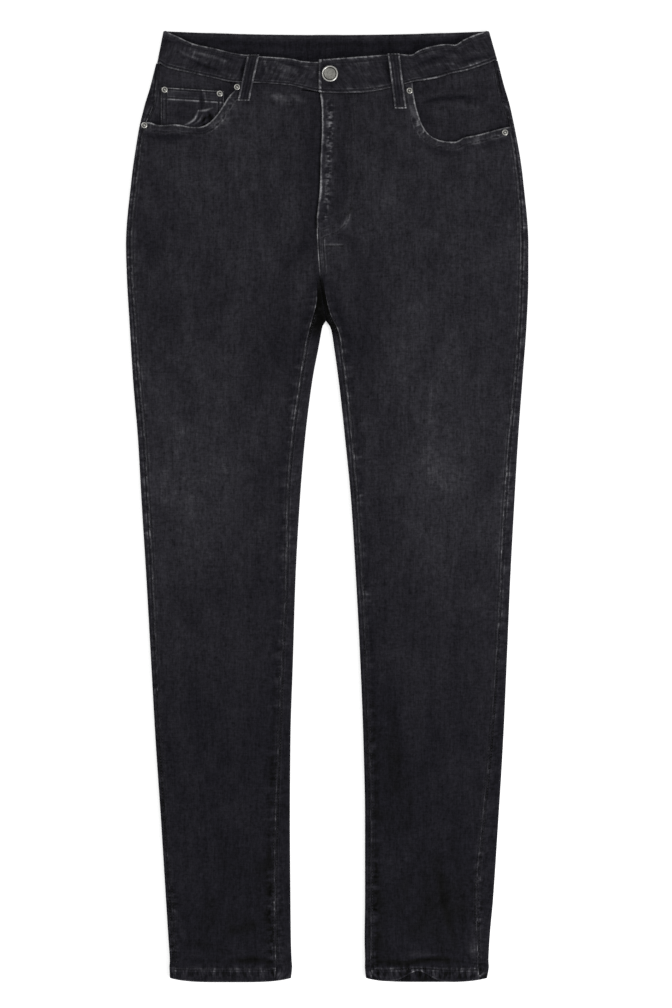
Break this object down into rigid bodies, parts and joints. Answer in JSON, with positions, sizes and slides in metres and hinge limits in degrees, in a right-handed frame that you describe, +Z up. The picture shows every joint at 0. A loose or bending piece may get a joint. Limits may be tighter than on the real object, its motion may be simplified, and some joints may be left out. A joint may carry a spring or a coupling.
{
  "type": "straight leg jeans laid flat",
  "caption": "Straight leg jeans in washed charcoal denim, laid flat with the front up, with a zip fly, belt loops and front, coin and back pockets.",
  "frame": {"origin": "centre of the laid garment's outline, on the surface that it lies on", "axes": "+X towards the wearer's left, +Y from the hems to the waist, +Z up from the surface, out of the front"},
  "size_m": [0.4342, 1.0271, 0.0111],
  "materials": {
    "denim": "washed charcoal stretch denim, matt, worn pale at edges and seams",
    "nickel": "antique nickel, softly polished",
    "zip_tape": "black woven tape"
  },
  "bodies": {
    "root": {"front_right": "denim", "front_left": "denim", "back_right": "denim", "back_left": "denim", "yoke_right": "denim", "yoke_left": "denim", "waistband": "denim", "pocket_facing_right": "denim", "pocket_facing_left": "denim", "coin_pocket": "denim", "back_pocket_right": "denim", "back_pocket_left": "denim", "belt_loop_front_right": "denim", "belt_loop_front_left": "denim", "belt_loop_back_right": "denim", "belt_loop_back_centre": "denim", "belt_loop_back_left": "denim", "button": "nickel", "rivet_right_pocket_top": "nickel", "rivet_right_pocket_side": "nickel", "rivet_coin_pocket_side": "nickel", "rivet_coin_pocket_centre": "nickel", "rivet_left_pocket_top": "nickel", "rivet_left_pocket_side": "nickel", "zip": "zip_tape", "zip_slider": "nickel"}
  },
  "joints": []
}
